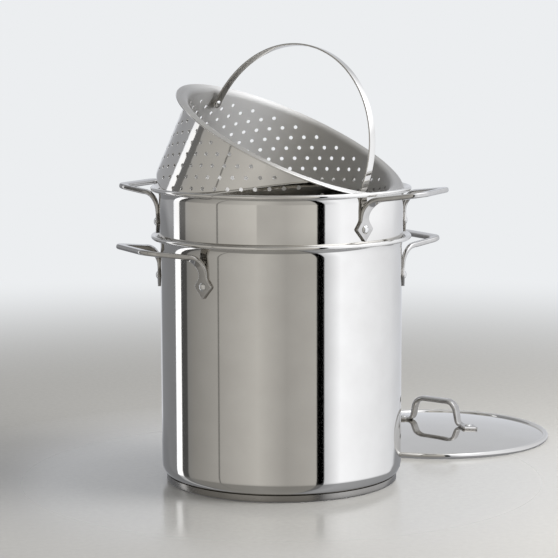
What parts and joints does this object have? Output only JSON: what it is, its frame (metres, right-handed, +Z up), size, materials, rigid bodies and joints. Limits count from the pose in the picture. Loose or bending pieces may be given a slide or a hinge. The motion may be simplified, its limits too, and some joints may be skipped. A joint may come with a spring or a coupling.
{
  "type": "pasta pot with strainer insert",
  "caption": "Tall polished steel stockpot with a deep strainer insert, a tilted perforated steamer basket with a bail, riveted loop handles and a low domed lid beside it.",
  "frame": {"origin": "centre of the underside of the pot's base", "axes": "+Z up along the pot's axis; X through the middles of the pot's two side handles; the lid lies towards +X and +Y"},
  "size_m": [0.5333, 0.379, 0.4372],
  "materials": {
    "polished_stainless": "mirror polished stainless steel",
    "base_aluminium": "bare, enclosed",
    "satin_stainless": "turned satin stainless steel",
    "cast_stainless": "polished cast stainless steel",
    "rivet_stainless": "polished stainless steel"
  },
  "bodies": {
    "pot": {"pot_floor": "polished_stainless", "pot_shell": "polished_stainless", "pot_base_core": "base_aluminium", "pot_base_cap": "polished_stainless", "pot_handle_left": "cast_stainless", "pot_handle_right": "cast_stainless", "pot_rivets": "rivet_stainless"},
    "insert": {"insert_shell": "polished_stainless", "insert_handle_left": "cast_stainless", "insert_handle_right": "cast_stainless", "insert_rivets": "rivet_stainless"},
    "basket": {"basket_shell": "satin_stainless", "bail_pivots": "rivet_stainless"},
    "bail": {"bail": "satin_stainless"},
    "lid": {"lid_shell": "polished_stainless", "lid_handle": "cast_stainless", "lid_rivets": "rivet_stainless"}
  },
  "joints": [
    {"name": "insert_lift", "type": "slide", "parent": "pot", "child": "insert", "axis": [0, 0, 1], "range_m": [0, 0.21]},
    {"name": "basket_lift", "type": "slide", "parent": "insert", "child": "basket", "axis": [0, 0, 1], "range_m": [0, 0.11]},
    {"name": "bail_swing", "type": "hinge", "parent": "basket", "child": "bail", "pos_m": [0.00322, -0.00421, 0.33037], "axis": [0.3135, -0.8501, -0.4232], "range_deg": [-129, 134]},
    {"name": "lid_lift", "type": "slide", "parent": "pot", "child": "lid", "axis": [0, 0, 1], "range_m": [0, 0.12]}
  ]
}
